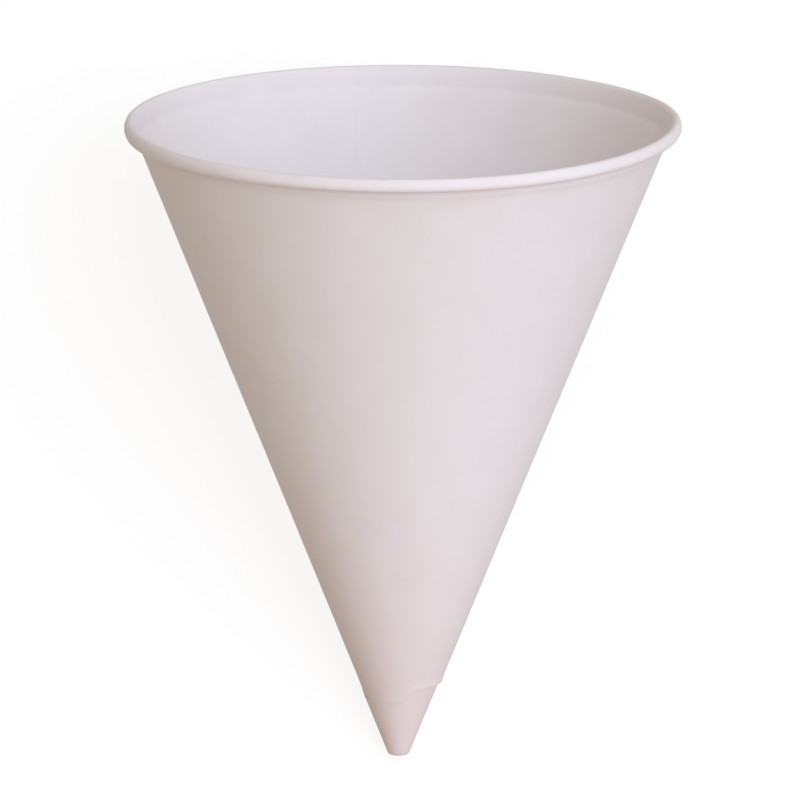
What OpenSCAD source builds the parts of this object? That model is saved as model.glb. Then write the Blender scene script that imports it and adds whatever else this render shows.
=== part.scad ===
// Cone paper cup. One sheet of paper is wound into a cone, lapped and glued down one side, wound
// shut at the tip and rolled outwards round the mouth. The cup lies on its lapped side, which is
// the heavy one, on its tip and a small flat of the soft rim. The mouth is towards +X. Millimetres.

/* [Cup] */
// Outside diameter across the rolled rim
rim_d = 73; // [60:0.5:90]
// Height from the tip to the top of the rolled rim
cup_h = 86; // [70:0.5:110]

/* [Paper] */
// Thickness of the sheet
paper_t = 0.22; // [0.15:0.01:0.3]

/* [Rolled rim] */
// Outside width of the roll, which is pressed to an oval
roll_w = 1.4; // [1.3:0.05:1.8]
// Outside height of the roll
roll_h = 2.1; // [1.8:0.1:3]
// How far the middle of the roll lies outside the wall
roll_out = 0.5; // [0.4:0.05:0.6]
// How far the sheet goes round the oval, in degrees
roll_turn = 270; // [240:5:285]
// Length of the soft bend by which the wall comes inwards to the roll
bend_l = 2.2; // [1.8:0.1:3]
// How far the roll is pressed flat where the cup lies on it
flat_d = 0.2; // [0.1:0.05:0.4]

/* [Side seam] */
// Width of the lap, where the end of the sheet is glued over its start
lap_w = 12; // [8:1:20]
// Width of the slope where the sheet comes down off its covered edge
slope_w = 2; // [1:0.5:4]

/* [Tip] */
// Outside radius of the blunt tip
tip_r = 2.4; // [1.8:0.1:3]
// Solid paper at the tip, measured up the axis
tip_solid = 4; // [3:0.2:6]
// Height on the axis of the edge of the last turn of paper round the tip
nose_h = 8.5; // [6:0.5:12]
// Slant of that edge, in degrees
nose_tilt = 17; // [0:1:25]

/* [Hidden] */
$fn = 180;
arc_step = 10; // degrees of arc between two points of an outline
over = paper_t; // how far a cutter runs past the paper
half_t = paper_t / 2; // from the middle of the first layer to its faces
lap_t = 1.5 * paper_t; // from the middle of the first layer to the outside of the second

// The section is drawn in (radius, height). A point on it is given by how far it lies up the
// straight wall, s, and how far out of the middle of the sheet, o.
roll_c = [(rim_d - roll_w) / 2, cup_h - roll_h / 2];
tip_c = [0, tip_r];
wall_gap = tip_r - lap_t; // from the tip's centre to the middle of the single sheet
reach = norm(roll_c - tip_c);
half_angle = atan2(roll_c[0], roll_c[1] - tip_c[1]) - asin((wall_gap + roll_out) / reach);
up_wall = [sin(half_angle), cos(half_angle)];
out_of_wall = [cos(half_angle), -sin(half_angle)];
function on_wall(s, o) = tip_c + s * up_wall + (wall_gap + o) * out_of_wall;

// Rolled rim: the wall comes inwards a little, then turns over and outwards round an oval, whose
// middle line is given by an angle. It is met where it runs the same way as the wall.
oval = [roll_w / 2 - half_t, roll_h / 2 - half_t];
function on_oval(a, o) = let (out = [oval[1] * cos(a), oval[0] * sin(a)])
    roll_c + [oval[0] * cos(a), oval[1] * sin(a)] + o * out / norm(out);
function oval_reach(a) = norm([roll_w / 2 * cos(a), roll_h / 2 * sin(a)]); // in that direction
roll_from = 180 - atan2(oval[1] * sin(half_angle), oval[0] * cos(half_angle));
met = on_oval(roll_from, 0) - on_wall(0, 0);
bend_to = met * up_wall;
bend_o = met * out_of_wall;
bend_s = bend_to - bend_l;
function on_bend(share, o) =
    on_wall(bend_s + share * bend_l, o + bend_o * (1 - cos(180 * share)) / 2);

// Inside of the tip: a ball that touches the wall and leaves the solid tip below it
apex_z = tip_r - wall_gap / sin(half_angle);
well_z = (tip_solid - apex_z * sin(half_angle) - half_t) / (1 - sin(half_angle));
well_r = well_z - tip_solid;
well_s = (well_z - tip_r) * cos(half_angle); // where it touches the wall

// Lap: on the flat sheet both its edges are straight and run beside the seam's middle line, so
// on the cone they wind round the tip. A turn is the angle round the axis from that line.
lap_half = lap_w / 2;
apex_s = -wall_gap / tan(half_angle); // the cone's point, measured as s
function edge_s(from_line, turn) = from_line / sin(turn * sin(half_angle)) + apex_s;
function edge_turn(from_line, s) = asin(from_line / (s - apex_s)) / sin(half_angle);
edge_steps = 18; // steps along an edge
rim_turn = edge_turn(lap_half, bend_to + 5 * roll_h); // above the rim, where the edges start
function edge_turns(last_turn) =
    [for (i = [0:edge_steps]) rim_turn + (last_turn - rim_turn) * i / edge_steps];
function turned(p, turn) = [p[0] * cos(turn), p[0] * sin(turn), p[1]];
function beyond(p, q, share) = q + share * (q - p);

// Lying on the rolled rim's flat and the tip, with the middle of the overall length at X = 0
flat_r = oval_reach(half_angle) - flat_d; // from the roll's centre to the flat
lie_angle = atan2(roll_c[0], roll_c[1] - tip_c[1]) + asin((flat_r - tip_r) / reach);
tip_x = tip_r * cos(lie_angle) - tip_r;
mouth_x = roll_c * [sin(lie_angle), cos(lie_angle)] + oval_reach(90 - lie_angle);

// Points on an arc, ends included, each way round
function arc(c, r, from, to) = let (n = max(2, ceil(abs(to - from) / arc_step)))
    [for (i = [0:n]) let (a = from + (to - from) * i / n) c + r * [cos(a), sin(a)]];

// Single sheet, from the tip's end up its outside, round the roll and back down its inside
module sheet_section() {
    bend_n = 8; // steps of the bend
    roll_n = ceil(roll_turn / arc_step);
    function roll_a(i) = roll_from - roll_turn * i / roll_n;
    polygon(concat(
        arc(tip_c, wall_gap + half_t, -90, -half_angle),
        [for (i = [0:bend_n]) on_bend(i / bend_n, half_t)],
        [for (i = [1:roll_n]) on_oval(roll_a(i), -half_t)],
        [for (i = [roll_n:-1:1]) on_oval(roll_a(i), half_t)],
        [for (i = [bend_n:-1:0]) on_bend(i / bend_n, -half_t)],
        arc([0, well_z], well_r, -half_angle, -90)
    ));
}

// Second layer, from inside the first one to one thickness outside it
module lap_section() {
    polygon(concat(
        arc(tip_c, tip_r, -90, -half_angle),
        [on_wall(bend_s, lap_t), on_wall(bend_s, 0)],
        arc(tip_c, wall_gap, -half_angle, -90)
    ));
}

// Space that holds the second layer down the seam: it ends at a sharp cut along the sheet's outer
// edge, on the -Y side, and at a slope where the sheet comes down off its covered edge, on +Y
module lap_space() {
    low = -tip_r; // below the tip
    past = 0.2; // share of itself by which the slope runs on at both ends
    turns = edge_turns(180);
    function cut(turn) = let (s = edge_s(lap_half, turn))
        [on_wall(s, lap_t + over), on_wall(s, -over)];
    function slope(turn) = let (
        high = on_wall(edge_s(lap_half, turn), lap_t),
        foot = on_wall(edge_s(lap_half + slope_w, turn), half_t)
    ) [beyond(foot, high, past), beyond(high, foot, past)];
    tops = concat(
        [for (i = [edge_steps:-1:0]) [-turns[i], cut(turns[i])]],
        [for (i = [0:edge_steps - 1]) [turns[i], slope(turns[i])]]
    );
    n = len(tops);
    points = concat(
        [[0, 0, low], [0, 0, well_z]],
        [for (t = tops) each [
            turned([t[1][0][0], low], t[0]), turned(t[1][0], t[0]), turned(t[1][1], t[0])
        ]]
    );
    faces = [for (i = [0:n - 1]) let (a = 2 + 3 * i, b = 2 + 3 * ((i + 1) % n)) each [
        [0, a, b],
        [a, a + 1, b + 1], [a, b + 1, b],
        [a + 1, a + 2, b + 2], [a + 1, b + 2, b + 1],
        [a + 2, 1, b + 2]
    ]];
    polyhedron(points, faces);
}

// Space that holds the second layer round the tip, below the slanting edge of the last turn
module nose_space() {
    translate([0, 0, nose_h])
    rotate([180 - nose_tilt, 0, 0])
    cylinder(h = 2 * nose_h, r = nose_h);
}

// Groove inside the cup beside the covered edge, under the slope, from the rim's bend down to just
// above the bottom of the cup
module inner_edge_groove() {
    turns = edge_turns(edge_turn(lap_half, well_s + slope_w));
    function section(turn) = let (
        s = edge_s(lap_half, turn),
        root = on_wall(s, half_t),
        foot = on_wall(edge_s(lap_half + slope_w, turn), -half_t)
    ) [on_wall(s, -half_t - over), root, beyond(root, foot, over / paper_t)];
    points = [for (turn = turns) each [for (p = section(turn)) turned(p, turn)]];
    sides = [for (i = [0:edge_steps - 1], k = [0:2]) let (
        a = 3 * i + k, b = 3 * i + (k + 1) % 3
    ) each [[a, b, b + 3], [a, b + 3, a + 3]]];
    last = 3 * edge_steps;
    ends = [[0, 2, 1], [last, last + 1, last + 2]];
    intersection() {
        polyhedron(points, concat(sides, ends));
        cylinder(h = on_wall(bend_s, half_t)[1], d = rim_d);
    }
}

module upright_cup() {
    difference() {
        union() {
            rotate_extrude() sheet_section();
            intersection() {
                rotate_extrude() lap_section();
                union() {
                    lap_space();
                    nose_space();
                }
            }
        }
        inner_edge_groove();
    }
}

module laid_down() {
    translate([-(tip_x + mouth_x) / 2, 0, tip_r - tip_r * sin(lie_angle)])
    rotate([0, 90 - lie_angle, 0])
    children();
}

// Everything from one height up to another, where the cup lies
module layer(from, to) {
    translate([-cup_h, -cup_h, from]) cube([2 * cup_h, 2 * cup_h, to - from]);
}

// The flat: the roll is cut off level with the ground, and its paper runs straight across there,
// from inside the cut skin to the roll's hollow
module cup() {
    skin = paper_t / 20;
    color("#f2eeee") {
        difference() {
            laid_down() upright_cup();
            layer(-roll_h, 0);
        }
        intersection() {
            laid_down() rotate_extrude() polygon([for (a = [0:arc_step:359]) on_oval(a, 0)]);
            layer(skin, paper_t);
        }
    }
}

cup();
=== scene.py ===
import math

import bmesh
import bpy
from mathutils import Matrix, Vector, noise


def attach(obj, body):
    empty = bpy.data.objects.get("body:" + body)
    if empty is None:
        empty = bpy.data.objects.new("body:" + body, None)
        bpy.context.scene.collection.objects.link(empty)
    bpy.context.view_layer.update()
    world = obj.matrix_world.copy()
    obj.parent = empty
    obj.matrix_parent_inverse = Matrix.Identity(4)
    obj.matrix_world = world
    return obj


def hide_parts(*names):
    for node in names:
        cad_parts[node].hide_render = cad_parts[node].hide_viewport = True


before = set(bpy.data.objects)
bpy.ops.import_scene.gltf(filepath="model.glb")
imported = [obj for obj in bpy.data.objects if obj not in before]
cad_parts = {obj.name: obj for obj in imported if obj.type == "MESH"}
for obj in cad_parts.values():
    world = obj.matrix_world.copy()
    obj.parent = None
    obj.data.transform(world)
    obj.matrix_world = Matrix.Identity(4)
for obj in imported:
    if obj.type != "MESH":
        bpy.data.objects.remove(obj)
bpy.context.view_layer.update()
print("frame loaded:", sorted(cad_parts))

scene = bpy.context.scene
scene.view_settings.view_transform = "Standard"
mm = 0.001
fullTurn = 2 * math.pi
quarterTurn = math.pi / 2
white = (1.0, 1.0, 1.0, 1.0)


def srgb(hexColour):
    # sRGB hex to linear RGBA
    parts = [int(hexColour[i:i + 2], 16) / 255 for i in (1, 3, 5)]
    return [c / 12.92 if c <= 0.04045 else ((c + 0.055) / 1.055) ** 2.4 for c in parts] + [1.0]


def addNode(tree, kind, settings=None, inputs=None):
    # settings are node attributes; inputs are values, or sockets to link from
    node = tree.nodes.new(kind)
    for key, value in (settings or {}).items():
        setattr(node, key, value)
    for key, value in (inputs or {}).items():
        if isinstance(value, bpy.types.NodeSocket):
            tree.links.new(value, node.inputs[key])
        else:
            node.inputs[key].default_value = value
    return node


def smooth(x):
    # from 0 to 1 with a soft start and a soft end
    x = min(1.0, max(0.0, x))
    return x * x * (3 - 2 * x)


def near(closeness, sharpness):
    # 1 at one side of the cup, down to 0 a quarter turn away; a sharper one falls sooner
    return max(0.0, closeness) ** sharpness


def steps(start, end, count):
    # evenly spaced values, without the start
    return [start + (end - start) * k / count for k in range(1, count + 1)]


# The cup is one sheet of paper, wound into a cone and rolled at the rim. Sizes in mm. Left, right and
# front are the photograph's.
cup = {
    "rimAcross": 73.0,      # outside of the rolled rim
    "height": 86.0,         # tip to top of the roll
    "paper": 0.22,
    # rolled rim
    "rollWide": 1.4,        # the roll is an oval
    "rollHigh": 2.1,
    "rollOut": 0.5,         # from the wall to the roll's middle
    "rollTurn": 270.0,      # degrees
    "flatDepth": 0.2,       # where the roll lies on the table
    "bendLong": 2.2,        # soft bend below the roll
    "creaseDepth": 0.10,    # faint crease where the bend begins
    "creaseWide": 0.45,
    "creaseReach": 3,       # it has faded out this many widths away
    "rollTuck": 0.27,       # the roll's lower half is pressed up, but not at the left end
    "tuckSharp": 4,
    "rimRise": 0.35,        # the rim stands higher at the right end
    "rimLoose": 0.32,       # and bulges there
    "rightSharp": 6,
    "rimDip": 0.22,         # it dips at the front
    "frontSharp": 2,
    # side seam
    "lapHalf": 6.0,         # from the seam's middle line to either edge, on the flat sheet
    "slope": 2.0,           # where the sheet comes down off its covered edge
    "pressed": 0.20,        # share of the covered edge's step that shows inside after pressing
    "pressedFrom": 12.0,    # the step fades in from here up the wall
    "pressedFade": 6.0,
    # tip
    "tipRadius": 2.4,
    "tipSolid": 4.0,
    "secondTo": 7.0,        # a second layer lines the wall up to here, then fades out
    "secondFade": 5.0,
    "tipRound": 0.6,        # edge of the blunt end
    "tipAside": 0.20,       # the end sits this far left in the last turn
    "endInset": 0.06,       # and this far inside it
    "lipHeight": 9.15,      # lower edge of the last turn, above the tip
    "lipRise": 1.05,        # it is higher on the right by twice this
    "lipAside": 1.0,        # how far right of the middle it rises
    "lipReach": 0.9,        # how gently it rises
    "lipLift": 0.11,        # its free edge stands off a little
    "lipLiftLong": 1.2,
    "lipFlat": 1.2,         # it lies flat on the left; a higher value keeps it flat further round
    # soft paper strays from a true cone
    "waveHeight": 0.10,
    "waveLong": 46.0,
    "waveRound": 1.1,       # a higher value puts more waves round the cup
    "waveStart": 3.7,       # picks the stretch of noise that is used
    "waveFine": 0.35,       # share of finer waves
    "waveFineScale": 2.3,
    "waveTipFrom": 8.0,     # none at the wound tip
    "waveTipFade": 14.0,
    "waveRimFrom": 66.0,    # the stiff rim takes most of it away
    "waveRimFade": 18.0,
    "waveRimLoss": 0.75,
    # mesh
    "columns": 240,
    "wallRows": 60,
    "lipCrowding": 1.6,     # above 1, rows lie closer near the lip
    "creaseRows": 6,
    "bendRows": 12,
    "rollRows": 34,
    "endRows": 3,
    "roundRows": 8,
    "noseRows": 12,
    "bottomRows": 10,
    "sharpAngle": 50.0,     # degrees; edges above this stay sharp
}


class Sheet:
    # the middle of the sheet in section: s runs up the wall, along the bend and round the roll,
    # and o is measured out of the cup

    twoLayers = 1.5    # from the middle of one layer to the far side of a second, in thicknesses
    rollLong = 4.0     # how far s runs on along the roll

    def __init__(self):
        self.thick = cup["paper"]
        self.tipRadius = cup["tipRadius"]
        self.gap = self.tipRadius - self.twoLayers * self.thick    # from the tip's centre to the wall
        wide, high = cup["rollWide"] / 2, cup["rollHigh"] / 2
        self.oval = (wide - self.thick / 2, high - self.thick / 2)
        self.rollMiddle = (cup["rimAcross"] / 2 - wide, cup["height"] - high)
        rise = self.rollMiddle[1] - self.tipRadius
        reach = math.hypot(self.rollMiddle[0], rise)
        lean = math.atan2(self.rollMiddle[0], rise)
        self.half = lean - math.asin((self.gap + cup["rollOut"]) / reach)    # half the cone's angle
        self.sin, self.cos = math.sin(self.half), math.cos(self.half)
        self.tan = self.sin / self.cos
        self.apexS = -self.gap / self.tan
        self.apexZ = self.tipRadius - self.gap / self.sin

        # the bend takes the wall to where the oval runs the same way
        self.rollFrom = math.pi - math.atan2(self.oval[1] * self.sin, self.oval[0] * self.cos)
        self.rollTurn = math.radians(cup["rollTurn"])
        metR, metZ = self.roll(self.rollFrom, 0)
        zeroR, zeroZ = self.wall(0, 0)
        self.bendTo = (metR - zeroR) * self.sin + (metZ - zeroZ) * self.cos
        self.bendO = (metR - zeroR) * self.cos - (metZ - zeroZ) * self.sin
        self.bendS = self.bendTo - cup["bendLong"]
        self.end = self.bendTo + self.rollLong

        # it lies on the tip and on the flat of the roll, with the middle of its length at X = 0
        lowest = math.hypot(wide * self.cos, high * self.sin) - cup["flatDepth"]
        self.lie = lean + math.asin((lowest - self.tipRadius) / reach)
        self.lieSin, self.lieCos = math.sin(self.lie), math.cos(self.lie)
        tipX = self.tipRadius * self.lieCos - self.tipRadius
        mouthX = self.rollMiddle[0] * self.lieSin + self.rollMiddle[1] * self.lieCos
        mouthX += math.hypot(wide * self.lieSin, high * self.lieCos)
        self.shift = (-(tipX + mouthX) / 2, self.tipRadius - self.tipRadius * self.lieSin)

    def wall(self, s, o):
        out = self.gap + o
        return s * self.sin + out * self.cos, self.tipRadius + s * self.cos - out * self.sin

    def roll(self, angle, o):
        # the paper turns over here, so out of the cup is into the roll
        wide, high = self.oval
        outR, outZ = high * math.cos(angle), wide * math.sin(angle)
        size = math.hypot(outR, outZ)
        return (self.rollMiddle[0] + wide * math.cos(angle) - o * outR / size,
                self.rollMiddle[1] + high * math.sin(angle) - o * outZ / size)

    def section(self, s, o):
        if s > self.bendTo:
            return self.roll(self.rollFrom - self.rollTurn * (s - self.bendTo) / self.rollLong, o)
        o += cup["creaseDepth"] * math.exp(-((s - self.bendS) / cup["creaseWide"]) ** 2)
        if s > self.bendS:
            share = (s - self.bendS) / cup["bendLong"]
            o += self.bendO * (1 - math.cos(math.pi * share)) / 2
        return self.wall(s, o)

    def unevenness(self, z, turn):
        share = smooth((z - cup["waveTipFrom"]) / cup["waveTipFade"])
        share *= 1 - cup["waveRimLoss"] * smooth((z - cup["waveRimFrom"]) / cup["waveRimFade"])
        across = cup["waveRound"]
        along = z / cup["waveLong"] + cup["waveStart"]
        spot = Vector((math.cos(turn) * across, math.sin(turn) * across, along))
        fine = cup["waveFine"] * noise.noise(spot * cup["waveFineScale"])
        return cup["waveHeight"] * share * (noise.noise(spot) + fine)

    def rimShift(self, s, turn):
        # the rim of a light paper cup is never quite round or level
        share = smooth((s - self.bendS + cup["bendLong"]) / (2 * cup["bendLong"]))
        toRight = near(-math.sin(turn), cup["rightSharp"]) * share
        toFront = near(-math.cos(turn), cup["frontSharp"]) * share
        return cup["rimLoose"] * toRight, cup["rimRise"] * toRight - cup["rimDip"] * toFront

    def tuck(self, z, turn):
        below = max(0.0, self.rollMiddle[1] - z) / self.oval[1]
        return cup["rollTuck"] * below * (1 - near(math.sin(turn), cup["tuckSharp"]))

    def at(self, s, o, turn):
        r, z = self.section(s, o)
        if s > self.bendTo:
            z += self.tuck(z, turn)
        out, rise = self.rimShift(s, turn)
        return self.placed(r + out + self.unevenness(z, turn), z + rise, turn)

    def placed(self, r, z, turn, aside=0.0):
        # from the upright cup to where it lies, in metres; the seam is at turn 0, underneath
        x, y = r * math.cos(turn), r * math.sin(turn) + aside
        along = x * self.lieSin + z * self.lieCos + self.shift[0]
        height = z * self.lieSin - x * self.lieCos + self.shift[1]
        return Vector((along, y, height)) * mm


sheet = Sheet()
columns = cup["columns"]
wallTop = sheet.bendS - cup["creaseReach"] * cup["creaseWide"]    # below the crease
rimRows = steps(wallTop, sheet.bendS, cup["creaseRows"])
rimRows += steps(sheet.bendS, sheet.bendTo, cup["bendRows"])
rimRows += steps(sheet.bendTo, sheet.end, cup["rollRows"])


def lapTurn(s):
    # angle round the axis from the seam's middle line to an edge of the lap
    return math.asin(min(1.0, cup["lapHalf"] / (s - sheet.apexS))) / sheet.sin


def slopeShare(s, turn):
    # 0 on top of the covered edge, 1 where the sheet has come down beside it
    flat = min(max(0.0, turn * sheet.sin), quarterTurn)
    return smooth(((s - sheet.apexS) * math.sin(flat) - cup["lapHalf"]) / cup["slope"])


def lipZ(turn):
    # lower edge of the last turn: level on the left, up a step, level on the right
    across = (cup["lipHeight"] - sheet.apexZ) * sheet.tan * math.sin(turn)
    step = math.tanh((across + cup["lipAside"]) / cup["lipReach"])
    return cup["lipHeight"] - cup["lipRise"] * step


def lipS(turn):
    # the same edge, measured up the wall
    return (lipZ(turn) - sheet.tipRadius + (sheet.gap + sheet.thick / 2) * sheet.sin) / sheet.cos


class Grid:
    # rows of points round the cup, and the faces between them

    def __init__(self):
        self.verts = []
        self.faces = []

    def ring(self, start, make, closed=True):
        # an open row ends at the turn where it starts, on the other side of a cut edge
        first = len(self.verts)
        places = range(columns if closed else columns + 1)
        self.verts.extend(make(start + fullTurn * j / columns) for j in places)
        row = list(range(first, len(self.verts)))
        return row + [first] if closed else row

    def skin(self, rows):
        for low, high in zip(rows, rows[1:]):
            self.faces.extend((low[j], low[j + 1], high[j + 1], high[j]) for j in range(columns))

    def cutEdge(self, rows):
        # the sheet's own thickness, between a row's last column and its first
        for low, high in zip(rows, rows[1:]):
            if low[0] != low[-1] or high[0] != high[-1]:
                corners = (low[-1], low[0], high[0], high[-1])
                self.faces.append(tuple(dict.fromkeys(corners)))    # a closed row gives one corner

    def cap(self, pole, row):
        self.verts.append(pole)
        self.faces.extend((len(self.verts) - 1, row[j], row[j + 1]) for j in range(columns))

    def rolledEnd(self, outer, inner):
        # joins the two skins, whose columns start at different edges of the lap
        skew = round(2 * lapTurn(sheet.end) / fullTurn * columns)
        for j in range(columns):
            k = (j - skew) % columns
            self.faces.append((outer[j], outer[j + 1], inner[k + 1], inner[k]))
        self.faces.append((outer[-1], outer[0], inner[columns - skew]))
        self.faces.append((inner[-1], inner[0], outer[skew]))


def bluntEnd(grid):
    # the inner turns of paper, which stick out of the last turn
    radius, aside = cup["tipRound"], cup["tipAside"]
    apex = sheet.tipRadius - (sheet.gap + sheet.thick / 2 - cup["endInset"]) / sheet.sin
    middle = (radius - apex) * sheet.tan - radius / sheet.cos    # of the rounded edge
    sideZ = radius * (1 - sheet.sin)
    start = -lapTurn(lipS(-quarterTurn))

    def endRow(r, z):
        return grid.ring(start, lambda turn: sheet.placed(r, z, turn, aside))

    def sideRow(up):
        def make(turn):
            z = sideZ + (lipZ(turn) - sideZ) * up
            return sheet.placed((z - apex) * sheet.tan, z, turn, aside)
        return grid.ring(start, make)

    rows = [endRow(r, 0.0) for r in steps(0, middle, cup["endRows"])]
    for angle in steps(-quarterTurn, -sheet.half, cup["roundRows"]):
        rows.append(endRow(middle + radius * math.cos(angle), radius * (1 + math.sin(angle))))
    rows += [sideRow(up) for up in steps(0, 1, cup["noseRows"])]
    grid.cap(sheet.placed(0, 0, 0, aside), rows[0])
    return rows


def outside(grid):
    # from the lower edge of the last turn to the end of the roll

    def row(up, top):
        def level(turn):
            return lipS(turn) * (1 - up) + top * up

        def make(turn):
            s = level(turn)
            lift = cup["lipLift"] * (1 - smooth((s - lipS(turn)) / cup["lipLiftLong"]))
            lift *= smooth((1 - math.sin(turn)) / cup["lipFlat"])
            point = sheet.at(s, sheet.thick * (sheet.twoLayers - slopeShare(s, turn)) + lift, turn)
            # in the roll this is the hollow side, which a layer of paper keeps off the table
            point.z = max(point.z, sheet.thick * mm if s > sheet.bendTo else 0.0)
            return point

        return grid.ring(-lapTurn(level(-quarterTurn)), make, closed=False)

    shares = [0.0] + steps(0, 1, cup["wallRows"])
    rows = [row(share ** cup["lipCrowding"], wallTop) for share in shares]
    rows += [row(1.0, s) for s in rimRows]
    grid.cutEdge(rows)
    return rows


def inside(grid):
    # from the bottom of the cup to the end of the roll
    lining = sheet.twoLayers * sheet.thick
    bottomZ = (cup["tipSolid"] - sheet.apexZ * sheet.sin - lining) / (1 - sheet.sin)
    bottomR = bottomZ - cup["tipSolid"]
    bottomS = (bottomZ - sheet.tipRadius) * sheet.cos    # where the round bottom meets the wall

    def bottomRow(angle):
        r, z = bottomR * math.cos(angle), bottomZ + bottomR * math.sin(angle)
        return grid.ring(lapTurn(bottomS), lambda turn: sheet.placed(r, z, turn))

    def row(s):
        second = 1 - smooth((s - cup["secondTo"]) / cup["secondFade"])
        step = cup["pressed"] * smooth((s - cup["pressedFrom"]) / cup["pressedFade"])

        def make(turn):
            lift = step * (1 - slopeShare(s, turn))
            point = sheet.at(s, sheet.thick * (lift - 0.5 - second), turn)
            point.z = max(point.z, 0.0)
            return point

        return grid.ring(lapTurn(s), make, closed=step == 0.0)

    rows = [bottomRow(angle) for angle in steps(-quarterTurn, -sheet.half, cup["bottomRows"])[:-1]]
    rows += [row(s) for s in [bottomS] + steps(bottomS, wallTop, cup["wallRows"]) + rimRows]
    grid.cap(sheet.placed(0, cup["tipSolid"], 0), rows[0])
    grid.cutEdge(rows)
    return rows


def buildCup():
    grid = Grid()
    end, outer, inner = bluntEnd(grid), outside(grid), inside(grid)
    grid.skin(end + outer)
    grid.skin(inner)
    grid.faces.append((end[-1][0], outer[0][-1], outer[0][0]))    # foot of the lap's cut edge
    grid.rolledEnd(outer[-1], inner[-1])

    mesh = bpy.data.meshes.new("paperCup")
    mesh.from_pydata(grid.verts, [], grid.faces)
    work = bmesh.new()
    work.from_mesh(mesh)
    bmesh.ops.recalc_face_normals(work, faces=work.faces)
    for face in work.faces:
        face.smooth = True
    for edge in work.edges:
        edge.smooth = edge.calc_face_angle(0.0) < math.radians(cup["sharpAngle"])
    openEdges = sum(len(edge.link_faces) != 2 for edge in work.edges)
    work.to_mesh(mesh)
    work.free()
    print("cup:", len(mesh.vertices), "points,", len(mesh.polygons), "faces,", openEdges, "open edges")
    piece = bpy.data.objects.new("paperCup", mesh)
    scene.collection.objects.link(piece)
    return piece


# Bleached cup paper, machine finished and not printed: a soft white that is a little warm, with the
# cloudy look of pressed fibres, a fine tooth and hardly any gloss.
paper = {
    "pale": "#f4efef",
    "cloud": "#ece6e5",
    "tip": "#eadbd7",       # painted shade: warmer and darker at the tip, where many turns of paper let less light through
    "tipFade": 40.0,        # mm up from the tip
    "tipPower": 2.0,        # above 1, the painted shade gathers at the tip
    "cloudSize": 6.0,       # mm, clumps of fibre
    "cloudDetail": 5.0,
    "cloudRoughness": 0.6,
    "toothSize": 0.5,       # mm, drawn coarser than real fibres so that it shows
    "toothDetail": 3.0,
    "toothRoughness": 0.65,
    "toothHeight": 0.012,   # mm
    "toothStrength": 0.6,
    "roughness": 0.7,
    "ior": 1.46,
    "specular": 0.2,
}


def bleachedPaper():
    material = bpy.data.materials.new("bleachedCupPaper")
    material.use_nodes = True
    tree = material.node_tree
    tree.nodes.clear()
    where = addNode(tree, "ShaderNodeTexCoord").outputs["Object"]

    # cloudy tone, with painted shade that makes it warmer and darker towards the tip
    clouds = addNode(tree, "ShaderNodeTexNoise", {}, {
        "Vector": where, "Scale": 1 / (paper["cloudSize"] * mm),
        "Detail": paper["cloudDetail"], "Roughness": paper["cloudRoughness"]})
    tone = addNode(tree, "ShaderNodeMix", {"data_type": "RGBA"}, {
        "Factor": clouds.outputs["Fac"], "A": srgb(paper["pale"]), "B": srgb(paper["cloud"])})
    along = addNode(tree, "ShaderNodeSeparateXYZ", {}, {"Vector": where})
    tipX = sheet.placed(0, 0, 0).x
    nearTip = addNode(tree, "ShaderNodeMapRange", {}, {
        "Value": along.outputs["X"], "From Min": tipX + paper["tipFade"] * mm, "From Max": tipX})
    # share of the painted shade, strongest at the tip
    tipShadeShare = addNode(tree, "ShaderNodeMath", {"operation": "POWER"}, {
        0: nearTip.outputs["Result"], 1: paper["tipPower"]})
    whole = addNode(tree, "ShaderNodeMix", {"data_type": "RGBA"}, {
        "Factor": tipShadeShare.outputs[0], "A": tone.outputs["Result"], "B": srgb(paper["tip"])})

    # tooth of the fibres
    tooth = addNode(tree, "ShaderNodeTexNoise", {}, {
        "Vector": where, "Scale": 1 / (paper["toothSize"] * mm),
        "Detail": paper["toothDetail"], "Roughness": paper["toothRoughness"]})
    bump = addNode(tree, "ShaderNodeBump", {}, {
        "Height": tooth.outputs["Fac"], "Strength": paper["toothStrength"],
        "Distance": paper["toothHeight"] * mm})

    shader = addNode(tree, "ShaderNodeBsdfPrincipled", {}, {
        "Base Color": whole.outputs["Result"], "Normal": bump.outputs["Normal"],
        "Roughness": paper["roughness"], "IOR": paper["ior"],
        "Specular IOR Level": paper["specular"]})
    addNode(tree, "ShaderNodeOutputMaterial", {}, {"Surface": shader.outputs["BSDF"]})
    print("paper:", material.name)
    return material


piece = buildCup()
piece.data.materials.append(bleachedPaper())
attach(piece, "root")
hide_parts("cup")

# The photograph's camera: it looks a little down into the upright cup, so down on the lying one
camera = {
    "lookDown": 13.05,      # degrees, down on the plane of the mouth
    "roll": 0.17,           # degrees
    "distance": 1.9,        # m
    "aimHeight": 45.0,      # mm up the cup's axis
    "aimPixel": (401.0, 423.9),
    "pixelsPerMm": 7.571,
    "frame": 800,           # pixels
    "sensor": 36.0,         # mm
    "clip": (0.05, 50.0),   # m
}


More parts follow.
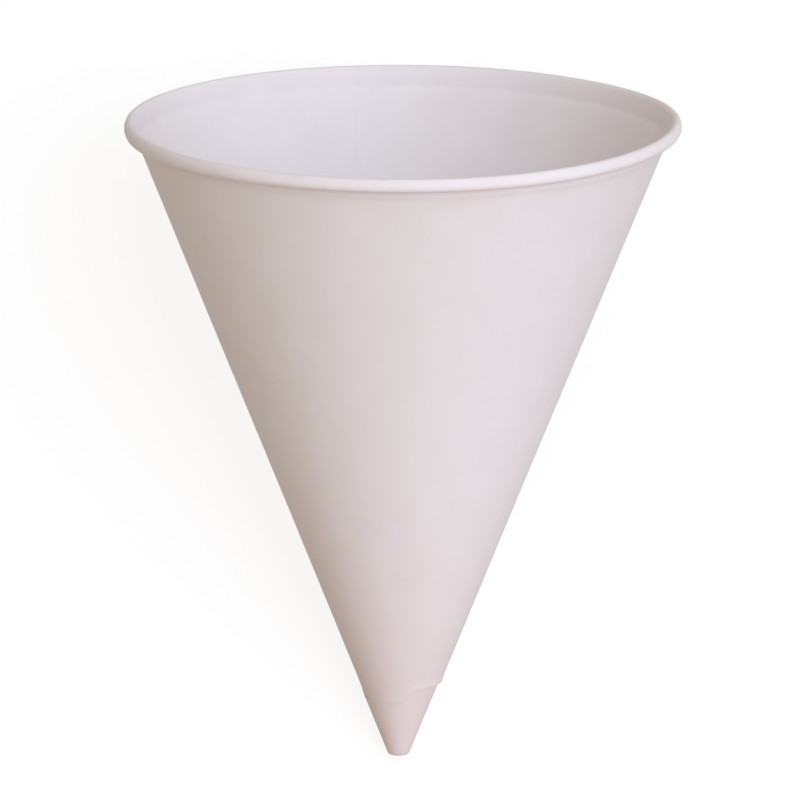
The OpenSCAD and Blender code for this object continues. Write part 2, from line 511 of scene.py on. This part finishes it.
def addCamera():
    data = bpy.data.cameras.new("camera")
    obj = bpy.data.objects.new("camera", data)
    scene.collection.objects.link(obj)
    lean = math.radians(camera["lookDown"]) - sheet.lie
    back = Vector((math.sin(lean), 0, math.cos(lean)))
    turned = Matrix.Rotation(math.radians(camera["roll"]), 3, back)
    right = turned @ Vector((0, -1, 0))
    up = turned @ Vector((math.cos(lean), 0, -math.sin(lean)))
    perMetre = camera["pixelsPerMm"] / mm
    offX, offY = [(pixel - camera["frame"] / 2) / perMetre for pixel in camera["aimPixel"]]
    aim = sheet.placed(0, camera["aimHeight"], 0) - right * offX + up * offY
    place = aim + back * camera["distance"]
    obj.matrix_world = Matrix.Translation(place) @ Matrix((right, up, back)).transposed().to_4x4()
    data.sensor_width = camera["sensor"]
    data.lens = perMetre * camera["distance"] * camera["sensor"] / camera["frame"]
    data.clip_start, data.clip_end = camera["clip"]
    scene.camera = obj
    print("camera: lens", round(data.lens, 1), "mm at", camera["distance"], "m")
    return right, up, back


right, up, back = addCamera()

# Soft studio lamps, each given by where it stands in the photograph: right, up and towards the camera
lamps = {
    "key": {"from": (0.25, 0.45, 0.86), "colour": "#c2deff", "strength": 1.02, "spread": 50},
    "side": {"from": (0.55, -0.05, 0.83), "colour": "#e2e9ff", "strength": 1.48, "spread": 50},
}


def addLamps():
    for name, lamp in lamps.items():
        data = bpy.data.lights.new(name, "SUN")
        data.energy = lamp["strength"]
        data.color = srgb(lamp["colour"])[:3]
        data.angle = math.radians(lamp["spread"])
        obj = bpy.data.objects.new(name, data)
        scene.collection.objects.link(obj)
        toRight, toTop, toCamera = lamp["from"]
        toLamp = right * toRight + up * toTop + back * toCamera
        obj.rotation_mode = "QUATERNION"
        obj.rotation_quaternion = toLamp.to_track_quat("Z", "Y")
    print("lamps:", ", ".join(lamps))


def seenRays(tree):
    # 1 for camera, mirror and glass rays, which see the background white; other light stays plain
    path = addNode(tree, "ShaderNodeLightPath").outputs
    seen = path["Is Camera Ray"]
    for kind in ("Is Glossy Ray", "Is Transmission Ray"):
        larger = addNode(tree, "ShaderNodeMath", {"operation": "MAXIMUM"}, {0: seen, 1: path[kind]})
        seen = larger.outputs[0]
    return seen


# Warm light from all round
world = {"colour": "#ffead1", "strength": 0.514}


def addWorld():
    made = bpy.data.worlds.new("studio")
    scene.world = made
    made.use_nodes = True
    tree = made.node_tree
    tree.nodes.clear()
    light = addNode(tree, "ShaderNodeBackground", {}, {
        "Color": srgb(world["colour"]), "Strength": world["strength"]})
    plain = addNode(tree, "ShaderNodeBackground", {}, {"Color": white, "Strength": 1.0})
    both = addNode(tree, "ShaderNodeMixShader", {}, {
        0: seenRays(tree), 1: light.outputs[0], 2: plain.outputs[0]})
    addNode(tree, "ShaderNodeOutputWorld", {}, {"Surface": both.outputs[0]})
    print("world:", made.name)


# Matt floor that throws a little light back at the cup. The camera sees it lifted to white, with a
# soft shadow.
floor = {
    "colour": "#b4b0ac",
    "seenColour": "#6e6c6a",
    "lift": 0.87,
    "size": 12.0,           # m
}


def addFloor():
    half = floor["size"] / 2
    corners = [(-half, -half, 0), (half, -half, 0), (half, half, 0), (-half, half, 0)]
    mesh = bpy.data.meshes.new("floor")
    mesh.from_pydata(corners, [], [(0, 1, 2, 3)])
    obj = bpy.data.objects.new("floor", mesh)
    scene.collection.objects.link(obj)
    material = bpy.data.materials.new("mattStudioFloor")
    material.use_nodes = True
    tree = material.node_tree
    tree.nodes.clear()
    matt = addNode(tree, "ShaderNodeBsdfDiffuse", {}, {"Color": srgb(floor["colour"])})
    shaded = addNode(tree, "ShaderNodeBsdfDiffuse", {}, {"Color": srgb(floor["seenColour"])})
    lift = addNode(tree, "ShaderNodeEmission", {}, {"Color": white, "Strength": floor["lift"]})
    lifted = addNode(tree, "ShaderNodeAddShader", {}, {0: shaded.outputs[0], 1: lift.outputs[0]})
    both = addNode(tree, "ShaderNodeMixShader", {}, {
        0: seenRays(tree), 1: matt.outputs[0], 2: lifted.outputs[0]})
    addNode(tree, "ShaderNodeOutputMaterial", {}, {"Surface": both.outputs[0]})
    mesh.materials.append(material)
    print("floor:", material.name)


addLamps()
addWorld()
addFloor()
